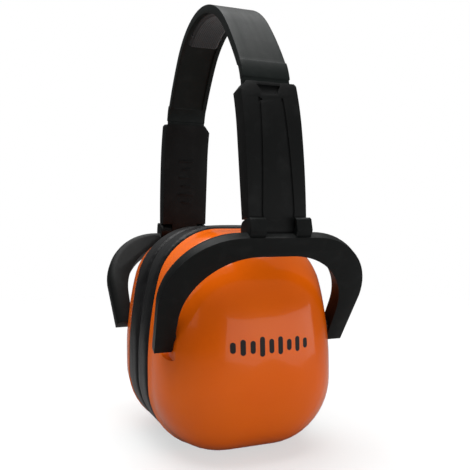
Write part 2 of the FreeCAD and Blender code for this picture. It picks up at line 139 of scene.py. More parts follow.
def block(name, low, high):  # a cube primitive between two corners, its place in its mesh
    low, high = Vector(low), Vector(high)
    bpy.ops.object.select_all(action="DESELECT")
    bpy.ops.mesh.primitive_cube_add(size=1, location=(low + high) / 2)
    piece = bpy.context.object
    piece.name = piece.data.name = name
    piece.scale = high - low
    bpy.ops.object.transform_apply(location=True, rotation=True, scale=True)
    return piece


def rod(name, centre, radius, length, axis="Y", vertices=48):
    turn = {"X": (0, math.pi / 2, 0), "Y": (math.pi / 2, 0, 0), "Z": (0, 0, 0)}[axis]
    bpy.ops.object.select_all(action="DESELECT")
    bpy.ops.mesh.primitive_cylinder_add(vertices=vertices, radius=radius, depth=length, location=centre,
                                        rotation=turn)
    piece = bpy.context.object
    piece.name = piece.data.name = name
    bpy.ops.object.transform_apply(location=True, rotation=True, scale=True)
    return piece


def roundedFace(name, x, corners, segments):  # an even-sided face across X, each corner (y, z, reach) rounded
    bpy.ops.object.select_all(action="DESELECT")
    bpy.ops.mesh.primitive_circle_add(vertices=2 * len(corners), radius=mm(50), fill_type="NGON",
                                      rotation=(0, -math.pi / 2, 0))
    piece = bpy.context.object
    piece.name = piece.data.name = name
    bpy.ops.object.transform_apply(location=True, rotation=True, scale=True)
    middle = (corners[0][1] + corners[-1][1]) / 2
    spots = sorted([(k * y, z) for y, z, _ in corners for k in (1, -1)],
                   key=lambda at: math.atan2(at[1] - middle, at[0]))
    around = sorted(piece.data.vertices, key=lambda vertex: math.atan2(vertex.co.z, vertex.co.y))
    for vertex, (y, z) in zip(around, spots):
        vertex.co = (x, mm(y), mm(z))
    edit(piece)
    for y, z, reach in corners:
        if reach:
            choose(piece, "VERT", lambda spot, facing: math.hypot(abs(spot.y) - mm(y), spot.z - mm(z)) < 1e-5)
            bpy.ops.mesh.bevel(offset=mm(reach), segments=segments, profile=0.5, affect="VERTICES",
                               clamp_overlap=False)
    leave()
    return piece


def joinUp(name, *parts):
    only(*parts)
    bpy.ops.object.join()
    piece = bpy.context.object
    piece.name = piece.data.name = name
    return piece


def copyOf(piece, name):
    other = piece.copy()
    other.data = piece.data.copy()
    other.name = other.data.name = name
    bpy.context.collection.objects.link(other)
    return other


def otherSide(piece, name):  # the left piece is the right one after half a turn about Z
    other = copyOf(piece, name)
    other.rotation_euler = (0, 0, math.pi)
    only(other)
    bpy.ops.object.transform_apply(location=True, rotation=True, scale=True)
    return other


def setDown(piece, spot, turn):  # turns a piece about the Y axis, then moves it, in its mesh
    piece.location, piece.rotation_euler = spot, (0, turn, 0)
    only(piece)
    bpy.ops.object.transform_apply(location=True, rotation=True, scale=True)


def cleanUp(piece, distance=1e-6):
    edit(piece)
    bpy.ops.mesh.select_all(action="SELECT")
    bpy.ops.mesh.remove_doubles(threshold=distance)
    bpy.ops.mesh.normals_make_consistent(inside=False)
    leave()


def soften(piece, width, segments=2, angle=35):
    treat(piece, "BEVEL", width=width, segments=segments, limit_method="ANGLE", angle_limit=math.radians(angle),
          use_clamp_overlap=True, miter_outer="MITER_ARC")


def smooth(piece, angle=35):
    only(piece)
    bpy.ops.object.shade_smooth_by_angle(angle=math.radians(angle))


def polar(centre, radius, degrees):  # a point at an angle from the vertical, in the XZ plane
    return Vector((centre[0] + radius * math.sin(math.radians(degrees)), 0,
                   centre[2] + radius * math.cos(math.radians(degrees))))


# ---- finishes ----

class Wire:  # a socket with the sums that the finishes use
    def __init__(self, finish, socket):
        self.finish, self.socket = finish, socket

    def sum(self, operation, first, second):
        return self.finish.add("ShaderNodeMath", {"operation": operation}, {0: first, 1: second})

    def __add__(self, other):
        return self.sum("ADD", self, other)

    def __radd__(self, other):
        return self.sum("ADD", other, self)

    def __sub__(self, other):
        return self.sum("SUBTRACT", self, other)

    def __rsub__(self, other):
        return self.sum("SUBTRACT", other, self)

    def __mul__(self, other):
        return self.sum("MULTIPLY", self, other)

    def __rmul__(self, other):
        return self.sum("MULTIPLY", other, self)

    def __truediv__(self, other):
        return self.sum("DIVIDE", self, other)

    def __pow__(self, other):
        return self.sum("POWER", self, other)


class Finish:  # a material, built from its Principled shader outwards
    def __init__(self, name, colour, **surface):
        self.material = bpy.data.materials.new(name)
        self.material.use_nodes = True
        self.material.diffuse_color = (*colour, 1)
        self.tree = self.material.node_tree
        self.shader = self.tree.nodes["Principled BSDF"]
        self.colour = colour
        self.give("Base Color", (*colour, 1))
        for name, value in surface.items():
            self.give(name.replace("_", " "), value)
        self.place = self.add("ShaderNodeTexCoord", {}, {}, "Object")

    def give(self, name, value):
        if isinstance(value, Wire):
            self.tree.links.new(value.socket, self.shader.inputs[name])
        else:
            self.shader.inputs[name].default_value = value

    def add(self, kind, settings, values, out=0):
        node = self.tree.nodes.new(kind)
        for name, value in settings.items():
            if name == "stops":
                ramp = node.color_ramp.elements
                while len(ramp) < len(value):
                    ramp.new(0.5)
                for stop, (position, tone) in zip(ramp, value):
                    stop.position, stop.color = position, (tone, tone, tone, 1)
            else:
                setattr(node, name, value)
        for name, value in values.items():
            if isinstance(value, Wire):
                self.tree.links.new(value.socket, node.inputs[name])
            else:
                node.inputs[name].default_value = value
        return Wire(self, node.outputs[out])

    def noise(self, scale, detail=3, place=None, roughness=0.55):
        return self.add("ShaderNodeTexNoise", {}, {"Vector": place or self.place, "Scale": scale, "Detail": detail,
                                                   "Roughness": roughness}, "Fac")

    def stretched(self, x, y, z):  # the object's place with each axis scaled, for grain that runs one way
        return self.add("ShaderNodeMapping", {}, {"Vector": self.place, "Scale": (x, y, z)})

    def ramp(self, wire, *stops):
        return self.add("ShaderNodeValToRGB", {"stops": stops}, {"Fac": wire})

    def range(self, wire, low, high, newLow=0.0, newHigh=1.0, clamp=True):
        return self.add("ShaderNodeMapRange", {"clamp": clamp}, {"Value": wire, "From Min": low, "From Max": high,
                                                                 "To Min": newLow, "To Max": newHigh})

    def mix(self, share, first, second):  # colours
        return self.add("ShaderNodeMix", {"data_type": "RGBA"}, {"Factor": share, 6: first, 7: second}, 2)

    def cells(self, scale, place=None, feature="F1"):
        return self.add("ShaderNodeTexVoronoi", {"feature": feature},
                        {"Vector": place or self.place, "Scale": scale}, "Distance")

    def axes(self):
        node = self.add("ShaderNodeSeparateXYZ", {}, {0: self.place}).socket.node
        return [Wire(self, output) for output in node.outputs]

    def relief(self, *layers):  # bumps, each a wire with its height in metres, one on top of the other
        under = None
        for wire, height in layers:
            values = {"Height": wire, "Strength": 1.0, "Distance": height}
            if under:
                values["Normal"] = under
            under = self.add("ShaderNodeBump", {}, values)
        self.give("Normal", under)


def tint(colour, share):  # a lighter or darker colour, with alpha
    return (*[min(1, channel * share) for channel in colour], 1)


def mouldedFinish(name, colour, roughness, grain, streak=None):
    # moulded plastic: fine spark grain, faint flow marks, paler rubbed patches and a little dust
    finish = Finish(name, colour, IOR=1.45, Specular_IOR_Level=0.15)
    cloudy = finish.noise(38, 4)
    fine = finish.noise(2600, 2)
    flow = finish.noise(90, 3, finish.stretched(*(streak or (1, 1, 0.2))))
    rubbed = finish.ramp(finish.noise(160, 5), (0.52, 0), (0.74, 1))
    tone = finish.mix(cloudy, tint(colour, 0.82), tint(colour, 1.18))
    tone = finish.mix(rubbed * 0.35, tone, tint([channel + 0.012 for channel in colour], 1.2))
    finish.give("Base Color", finish.mix(fine * 0.3, tone, tint(colour, 1.5)))
    finish.give("Roughness", finish.range(flow + fine * 0.3, 0.3, 1.0, roughness - 0.07, roughness + 0.09))
    finish.relief((fine, grain), (flow, grain * 1.5))
    return finish


def bandFinish():
    return mouldedFinish("bandPolymer", (0.0085, 0.0110, 0.0102), 0.44, 0.00003, (0.3, 3, 0.3))


def sleeveFinish():
    return mouldedFinish("sleevePolymer", (0.0045, 0.0049, 0.0048), 0.5, 0.00003)


def yokeFinish():
    return mouldedFinish("yokePolymer", (0.0055, 0.0062, 0.0060), 0.42, 0.00002)


def innerFinish():
    return mouldedFinish("innerPolymer", (0.010, 0.010, 0.010), 0.5, 0.00004)


shellLook = {"orange": (0.92, 0.146, 0.0030), "deep": (0.86, 0.118, 0.0020), "pale": (0.95, 0.172, 0.0050),
             "coat": 0.28, "markPlace": (-0.0004, 0.0506), "barWidth": 0.0022, "barPitch": 0.0040,
             "barHeights": (0.0022, 0.0042, 0.0030, 0.0058, 0.0036, 0.0050, 0.0024, 0.0040, 0.0020)}


def shellFinish():  # glossy moulded shell with a plain printed row of bars on its face
    look = shellLook
    finish = Finish("shellGloss", look["orange"], IOR=1.45, Specular_IOR_Level=0.15, Coat_Weight=look["coat"],
                    Coat_Roughness=0.05, Coat_IOR=1.45)
    x, y, z = finish.axes()
    cloudy = finish.noise(22, 3)
    colour = finish.mix(cloudy, (*look["deep"], 1), (*look["pale"], 1))
    specks = finish.ramp(finish.noise(900, 2), (0.66, 0), (0.72, 1))
    colour = finish.mix(specks * 0.08, colour, tint(look["orange"], 0.6))
    away = finish.add("ShaderNodeMath", {"operation": "ABSOLUTE"}, {0: x})
    across = finish.add("ShaderNodeMath", {"operation": "SIGN"}, {0: x}) * y  # the same way round on both cups
    printed = None
    count = len(look["barHeights"])
    for number, height in enumerate(look["barHeights"]):
        middle = look["markPlace"][0] + (number - (count - 1) / 2) * look["barPitch"]
        besides = finish.add("ShaderNodeMath", {"operation": "ABSOLUTE"}, {0: across - middle})
        above = finish.add("ShaderNodeMath", {"operation": "ABSOLUTE"}, {0: z - look["markPlace"][1]})
        reach = look["barWidth"] / 2
        over = finish.add("ShaderNodeMath", {"operation": "MAXIMUM"}, {0: above - (height / 2), 1: 0.0})
        distance = finish.add("ShaderNodeMath", {"operation": "SQRT"}, {0: besides * besides + over * over})
        bar = finish.range(distance, reach * 0.92, reach * 1.08, 1.0, 0.0)
        if printed is None:
            printed = bar
        else:
            printed = finish.add("ShaderNodeMath", {"operation": "MAXIMUM"}, {0: printed, 1: bar})
    printed = printed * finish.range(away, 0.050, 0.0505)
    finish.give("Base Color", finish.mix(printed, colour, (0.012, 0.011, 0.010, 1)))
    dust = finish.noise(60, 4)
    finish.give("Roughness", finish.range(dust, 0.35, 0.75, 0.16, 0.27) + printed * 0.25)
    finish.give("Coat Weight", look["coat"] - printed * 0.2)
    peel = finish.noise(260, 2)
    finish.relief((peel, 0.00002), (printed, 0.00004))
    return finish


def cushionFinish():  # soft vinyl skin, with painted shade in the low parts of its creases
    colour = (0.0060, 0.0062, 0.0066)
    finish = Finish("cushionVinyl", colour, IOR=1.45, Specular_IOR_Level=0.25)
    creasesAndPaintedShade = finish.noise(70, 4, finish.stretched(1.8, 1, 1))
    grain = finish.cells(1500)
    pores = finish.noise(2400, 2)
    # painted shade: darker where the crease relief is low, paler where it is raised
    tone = finish.mix(creasesAndPaintedShade, tint(colour, 0.8), tint(colour, 1.35))
    finish.give("Base Color", finish.mix(grain * 0.25, tone, tint(colour, 1.7)))
    finish.give("Roughness", finish.range(creasesAndPaintedShade + pores * 0.2, 0.3, 0.9, 0.34, 0.48))
    finish.relief((grain, 0.00005), (pores, 0.00003), (creasesAndPaintedShade, 0.0004))
    return finish


def foamFinish(name, colour, cell):  # open-cell foam, with painted shade in the low parts between its raised cells
    finish = Finish(name, colour, Roughness=0.95, Specular_IOR_Level=0.2)
    poresAndPaintedShade = finish.cells(cell)
    small = finish.cells(cell * 2.3)
    # painted shade and light: darker where the cell relief is low, paler on the raised cells
    tone = finish.mix(finish.range(poresAndPaintedShade, 0.1, 0.55), tint(colour, 1.5), tint(colour, 0.35))
    finish.give("Base Color", finish.mix(finish.noise(45, 3) * 0.4, tone, tint(colour, 0.9)))
    finish.give("Roughness", finish.range(small, 0, 0.6, 0.82, 0.98))
    finish.relief((1 - poresAndPaintedShade, 0.0004), (1 - small, 0.00015))
    return finish


def padFinish():  # knitted cover of the strip under the crown, with painted shade in the grooves between its ribs and painted light on their crests
    colour = (0.020, 0.021, 0.022)
    finish = Finish("padKnit", colour, Sheen_Weight=0.3, Sheen_Roughness=0.5)
    ribsAndPaintedShade = finish.add("ShaderNodeTexWave", {"wave_type": "BANDS", "bands_direction": "Y"},
                      {"Vector": finish.place, "Scale": 320, "Distortion": 1.2, "Detail": 2, "Detail Scale": 2}, "Fac")
    fuzz = finish.noise(3000, 2)
    # painted shade and light from the ribs: darker grooves, paler crests; the fuzz is random tone
    finish.give("Base Color", finish.mix(ribsAndPaintedShade * 0.5 + fuzz * 0.3, tint(colour, 0.6), tint(colour, 1.9)))
    finish.give("Roughness", finish.range(fuzz, 0.3, 0.7, 0.78, 0.92))
    finish.relief((ribsAndPaintedShade, 0.00012), (fuzz, 0.00005))
    return finish


def pinFinish():
    finish = Finish("pinSteel", (0.42, 0.41, 0.40), Metallic=1.0)
    brushed = finish.noise(900, 3, finish.stretched(1, 0.04, 1))
    spots = finish.ramp(finish.noise(420, 4), (0.58, 0), (0.7, 1))
    finish.give("Base Color", finish.mix(spots * 0.5, (0.42, 0.41, 0.40, 1), (0.16, 0.12, 0.09, 1)))
    finish.give("Roughness", finish.range(brushed, 0.3, 0.7, 0.24, 0.42) + spots * 0.2)
    finish.relief((brushed, 0.00001))
    return finish


finishes = {"band": bandFinish(), "sleeve": sleeveFinish(), "yoke": yokeFinish(), "inner": innerFinish(),
            "shell": shellFinish(), "cushion": cushionFinish(), "pad": padFinish(), "pin": pinFinish(),
            "liner": foamFinish("linerFoam", (0.035, 0.035, 0.036), 900)}
print("finishes made")


def coat(piece, key):
    piece.data.materials.clear()
    piece.data.materials.append(finishes[key].material)


def finishNode(name, key):  # a CAD node keeps its shape and gets a finish
    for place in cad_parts[name].material_slots:
        place.material = finishes[key].material


# ---- camera, floor and lights ----

view = {"place": (0.2843, -0.1089, 0.0962), "turn": 67.69, "dip": 0.23, "roll": -0.44, "lens": 47.97}
lens = bpy.data.cameras.new("camera")
lens.lens, lens.sensor_width = view["lens"], 36
lens.clip_start, lens.clip_end = 0.01, 50
camera = bpy.data.objects.new("camera", lens)
bpy.context.collection.objects.link(camera)
camera.matrix_world = (Matrix.Translation(view["place"]) @ Matrix.Rotation(math.radians(view["turn"]), 4, "Z")
                       @ Matrix.Rotation(math.radians(90 - view["dip"]), 4, "X")
                       @ Matrix.Rotation(math.radians(view["roll"]), 4, "Z"))
bpy.context.scene.camera = camera
bpy.context.scene.view_settings.view_transform = "Standard"

floorFinish = Finish("studioFloor", (0.86, 0.86, 0.86), Roughness=0.9, Specular_IOR_Level=0.1)
floorFinish.give("Base Color", floorFinish.mix(floorFinish.noise(9, 3), (0.85, 0.85, 0.85, 1),
                                               (0.87, 0.87, 0.87, 1)))
bpy.ops.object.select_all(action="DESELECT")
bpy.ops.mesh.primitive_circle_add(vertices=96, radius=0.75, fill_type="NGON", location=(0, 0, cadBox[0].z))
floor = bpy.context.object
floor.name = "studioFloor"
floor.data.materials.append(floorFinish.material)
fromMiddle = floorFinish.add("ShaderNodeVectorMath", {"operation": "LENGTH"}, {0: floorFinish.place}, "Value")
floorFinish.give("Alpha", floorFinish.range(fromMiddle, 0.10, 0.70, 0.40, 0.0))  # it fades into the white studio

studio = {"sky": 0.34, "low": 0.10, "sun": 2.9,
          "boxes": (("keyBox", (0.62, 0.30, 0.03), (0.05, 0.0, 0.045), (1.5, 0.27), 2.6),
                    ("topBox", (0.10, -0.10, 0.80), (0, 0, 0.10), (0.5, 0.4), 2.0),
                    ("frontBox", (0.20, -0.85, 0.35), (0, 0, 0.09), (0.35, 0.5), 0.4))}


def lightWorld():
    world = bpy.data.worlds.new("studioSky")
    world.use_nodes = True
    nodes, links = world.node_tree.nodes, world.node_tree.links
    plain = nodes["Background"]
    plain.inputs["Strength"].default_value = studio["sky"]
    heading, upward = nodes.new("ShaderNodeTexCoord"), nodes.new("ShaderNodeSeparateXYZ")
    shade = nodes.new("ShaderNodeMapRange")  # light above, dim at and below the horizon
    shade.inputs["From Min"].default_value, shade.inputs["From Max"].default_value = -0.1, 0.8
    shade.inputs["To Min"].default_value = studio["low"]
    links.new(heading.outputs["Generated"], upward.inputs[0])
    links.new(upward.outputs["Z"], shade.inputs["Value"])
    links.new(shade.outputs[0], plain.inputs["Color"])
    seen = nodes.new("ShaderNodeBackground")
    seen.inputs["Color"].default_value = (1, 1, 1, 1)
    ray, blend = nodes.new("ShaderNodeLightPath"), nodes.new("ShaderNodeMixShader")
    links.new(ray.outputs["Is Camera Ray"], blend.inputs[0])
    links.new(plain.outputs[0], blend.inputs[1])
    links.new(seen.outputs[0], blend.inputs[2])
    links.new(blend.outputs[0], nodes["World Output"].inputs["Surface"])
    bpy.context.scene.world = world


def lightBox(name, spot, aim, size, power):
    light = bpy.data.lights.new(name, "AREA")
    light.shape, light.size, light.size_y, light.energy = "RECTANGLE", size[0], size[1], power
    box = bpy.data.objects.new(name, light)
    bpy.context.collection.objects.link(box)
    box.location = spot
    box.rotation_euler = (Vector(aim) - Vector(spot)).to_track_quat("-Z", "Y").to_euler()


lightWorld()
for box in studio["boxes"]:
    lightBox(*box)
sun = bpy.data.lights.new("softSun", "SUN")
sun.energy, sun.angle = studio["sun"], math.radians(70)
sunObject = bpy.data.objects.new("softSun", sun)
sunObject.rotation_euler = (math.radians(2), math.radians(-10), 0)
bpy.context.collection.objects.link(sunObject)
print("camera, floor and lights set")


# ---- headband ----

band = {"crownCentre": mm(0, 0, 156), "crownRadius": mm(47), "crownEnd": 34, "shoulderEnd": 48,
        "armRadius": mm(150), "armEnd": 58, "splitAt": 53, "bendRadius": mm(24), "sleeveLean": 7,
        "halfWidth": mm(10.3), "thick": mm(3.6), "rib": mm(2.2), "channel": mm(1.2), "tailThin": mm(1.0),
        "tailLength": mm(51), "collarProud": mm(0.28), "collarLong": 19, "edge": mm(0.45),
        "slotPlace": mm(17), "slotApart": mm(10.4), "slotLong": mm(6), "slotWide": mm(1.8),
        "crownBlend": mm(11), "armBlend": mm(6),
        "notches": 7, "notchPitch": mm(5), "notchRadius": mm(1.1), "notchDepth": mm(0.6)}
band["armCentre"] = polar(band["crownCentre"], band["crownRadius"] - band["armRadius"], band["shoulderEnd"])
band["bendCentre"] = polar(band["armCentre"], band["armRadius"] - band["bendRadius"], band["armEnd"])
sleeveTop = polar(band["bendCentre"], band["bendRadius"], 90 - band["sleeveLean"])
leaning = math.radians(band["sleeveLean"])
downSleeve = Vector((math.sin(leaning), 0, -math.cos(leaning)))
outOfSleeve = Vector((math.cos(leaning), 0, math.sin(leaning)))


def spinOn(centre, degrees, steps):  # carries the selected section round a centre, away from the crown
    bpy.ops.mesh.spin(steps=steps, angle=-math.radians(degrees), center=centre, axis=(0, 1, 0))


def makeBand():
    b = band
    top = b["crownCentre"].z + b["crownRadius"]
    bpy.ops.object.select_all(action="DESELECT")
    bpy.ops.mesh.primitive_plane_add(size=1, location=(0, 0, top - b["thick"] / 2), rotation=(0, math.pi / 2, 0))
    piece = bpy.context.object
    piece.name = piece.data.name = "headbandWhole"
    piece.scale = (b["thick"], 2 * b["halfWidth"], 1)
    bpy.ops.object.transform_apply(location=True, rotation=True, scale=True)
    edit(piece)
    ribEdge = b["halfWidth"] - b["rib"]
    for y in (-ribEdge, ribEdge):
        cut((0, y, 0), (0, 1, 0))
    cut((0, 0, top - b["thick"] + b["channel"]), (0, 0, 1))
    choose(piece, "FACE", lambda spot, facing: spot.z < top - b["thick"] + b["channel"] and abs(spot.y) < ribEdge)
    bpy.ops.mesh.delete(type="FACE")
    bpy.ops.mesh.select_all(action="SELECT")
    spinOn(b["crownCentre"], b["shoulderEnd"], 48)
    spinOn(b["armCentre"], b["armEnd"] - b["shoulderEnd"], 14)
    # the tail is thinner: its inner side comes outwards and the channel closes, and a low collar stands proud
    along = Vector((math.cos(math.radians(b["armEnd"])), 0, -math.sin(math.radians(b["armEnd"]))))
    outwards = polar(Vector((0, 0, 0)), 1, b["armEnd"])
    edge = polar(b["armCentre"], b["armRadius"], b["armEnd"])
    push(*(along * mm(0.35)))
    middle = edge - outwards * b["thick"] / 2
    grown = 1 + b["collarProud"] / b["halfWidth"]
    scaleAbout(middle, 1, grown, 1)
    shift(*(outwards * b["collarProud"]))
    chosen = bmesh.from_edit_mesh(piece.data)
    for vertex in chosen.verts:
        if vertex.select:
            depth = (edge - vertex.co).dot(outwards)
            if depth > b["thick"] * 0.5:
                vertex.co += outwards * (depth - (b["thick"] - b["tailThin"]))
    bmesh.update_edit_mesh(piece.data)
    spinOn(b["bendCentre"], b["collarLong"], 10)
    push(*(downSleeve * mm(0.3)))
    scaleAbout(middle, 1, 1 / grown, 1)
    shift(*(outOfSleeve * -b["collarProud"]))
    spinOn(b["bendCentre"], 90 - b["sleeveLean"] - b["armEnd"] - b["collarLong"], 5)
    push(*(downSleeve * b["tailLength"]))
    choose(piece, "FACE", lambda spot, facing: abs(spot.x) < 1e-6 and abs(facing.x) > 0.9)
    bpy.ops.mesh.delete(type="FACE")
    leave()
    treat(piece, "MIRROR", use_axis=(True, False, False), merge_threshold=1e-5)
    cleanUp(piece)
    return piece


def slotCutters():
    b = band
    cutters = []
    for x in (-b["slotPlace"], b["slotPlace"]):
        for y in (-b["slotApart"] / 2, b["slotApart"] / 2):
            cutters.append(block("slot", (x - b["slotWide"] / 2, y - b["slotLong"] / 2, 0.185),
                                 (x + b["slotWide"] / 2, y + b["slotLong"] / 2, 0.21)))
    return joinUp("slots", *cutters)


def notchCutters(side):
    b = band
    cutters = []
    deep = b["thick"] - b["tailThin"] + b["notchRadius"] - b["notchDepth"]
    for number in range(b["notches"]):
        along = b["tailLength"] - mm(5) - number * b["notchPitch"]
        spot = sleeveTop + downSleeve * along - outOfSleeve * deep
        cutters.append(rod("notch", (side * spot.x, 0, spot.z), b["notchRadius"], b["halfWidth"], vertices=20))
    return joinUp("notches", *cutters)


wholeBand = makeBand()
carve(wholeBand, slotCutters())
for side, k in sides:
    carve(wholeBand, notchCutters(k))
soften(wholeBand, band["edge"], 3, 32)
cleanUp(wholeBand)
for side, k in sides:
    split = polar(band["armCentre"], band["armRadius"], band["splitAt"])
    split.x *= k
    tangent = Vector((k * math.cos(math.radians(band["splitAt"])), 0, -math.sin(math.radians(band["splitAt"]))))
    crownEdge = polar(band["crownCentre"], band["crownRadius"], band["crownEnd"])
    armEdge = polar(band["armCentre"], band["armRadius"], band["armEnd"])
    upper, lower = copyOf(wholeBand, "headbandTop_" + side), copyOf(wholeBand, "headbandEnd_" + side)
    for piece, spot, facing in ((upper, (0, 0, 0), (-k, 0, 0)), (upper, split, tangent),
                                (lower, (0, 0, 0), (-k, 0, 0)), (lower, split, -tangent)):
        edit(piece)
        cut(spot, facing, use_fill=True, clear_outer=True)
        leave()
    for piece, first, second, edge, degrees, reach in (
            (upper, "headband", "arm_" + side, crownEdge, band["crownEnd"], band["crownBlend"]),
            (lower, "arm_" + side, "tail_" + side, armEdge, band["armEnd"], band["armBlend"])):
        smooth(piece, 30)
        coat(piece, "band")
        run = Vector((k * math.cos(math.radians(degrees)), 0, -math.sin(math.radians(degrees))))
        edge = Vector((k * edge.x, 0, edge.z))
        edge - run * reach
        edge + run * reach
        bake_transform(piece)
    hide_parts("headband_tail_" + side)
    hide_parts("headband_arm_" + side, *(["headband_crown"] if k > 0 else []))
bpy.data.objects.remove(wholeBand)
print("headband made")

# ---- comfort pad under the crown ----

pad = {"depth": mm(2.4), "thick": mm(2.4), "halfWidth": mm(7.9), "end": 32,
       "tabInset": mm(0.2), "tabLow": mm(0.6), "tabHigh": mm(2.6)}


def makeCrownPad():
    outer = band["crownRadius"] - pad["depth"]
    top = band["crownCentre"].z + outer
    bpy.ops.object.select_all(action="DESELECT")
    bpy.ops.mesh.primitive_plane_add(size=1, location=(0, 0, top - pad["thick"] / 2), rotation=(0, math.pi / 2, 0))
    piece = bpy.context.object
    piece.name = piece.data.name = "crownPad"
    piece.scale = (pad["thick"], 2 * pad["halfWidth"], 1)
    bpy.ops.object.transform_apply(location=True, rotation=True, scale=True)
    edit(piece)
    for share in (-0.8, -0.4, 0, 0.4, 0.8):
        cut((0, share * pad["halfWidth"], 0), (0, 1, 0))
    cut((0, 0, top - pad["thick"] / 2), (0, 0, 1))
    choose(piece, "VERT", lambda spot, facing: spot.z < top - pad["thick"] * 0.9
           and abs(spot.y) > pad["halfWidth"] * 0.9)
    scaleAbout((0, 0, top), 1, 0.93, 0.62)
    bpy.ops.mesh.select_all(action="SELECT")
    bpy.ops.transform.rotate(value=math.radians(pad["end"]), orient_axis="Y", center_override=band["crownCentre"])
    spinOn(band["crownCentre"], 2 * pad["end"], 40)
    leave()
    cleanUp(piece)
    return piece


crownPad = makeCrownPad()
tabs = []
for x in (-band["slotPlace"], band["slotPlace"]):
    for y in (-band["slotApart"] / 2, band["slotApart"] / 2):
        base = band["crownCentre"].z + math.sqrt((band["crownRadius"] - band["thick"]) ** 2 - band["slotPlace"] ** 2)
        reach = (band["slotWide"] / 2 - pad["tabInset"], band["slotLong"] / 2 - pad["tabInset"])
        tab = block("tab", (x - reach[0], y - reach[1], base - pad["tabLow"]),
                    (x + reach[0], y + reach[1], base + pad["tabHigh"]))
        soften(tab, mm(0.3), 2)
        tabs.append(tab)
crownPad = joinUp("crownPad", *tabs, crownPad)
treat(crownPad, "BEVEL", width=mm(0.5), segments=3, limit_method="ANGLE", angle_limit=math.radians(50))
smooth(crownPad, 40)
coat(crownPad, "pad")
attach(crownPad, "headband")
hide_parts("crown_pad")
print("crown pad made")


# ---- adjuster sleeves, drawn upright with the top of the band's outer face at the origin ----

sleeve = {"length": mm(55.5), "halfWidth": mm(12.6), "inner": mm(-4.2), "outer": mm(2.5), "bow": mm(1.55),
          "tuck": mm(1.3), "flare": mm(2.4), "curlLong": mm(20), "rows": 22,
          "panelTop": mm(4.3), "panelLow": mm(6.5), "grooveWide": mm(1.0), "grooveDeep": mm(0.55), "grooveStart": mm(7),
          "slotBack": mm(-2.8), "slotFront": mm(0.2), "slotHalf": mm(10.5), "slotFloor": mm(2.5),
          "tongueHalf": mm(7.2), "tongueDrop": mm(4.4), "knuckle": mm(3.2), "edge": mm(0.5),
          "cornerCut": mm(3.6), "smallCorner": mm(1.0),
          "ticks": 6, "tickStart": mm(20), "tickPitch": mm(4.6), "tickHalf": (mm(4.2), mm(2.4)),
          "tickProud": mm(0.35), "tickThin": mm(0.55)}


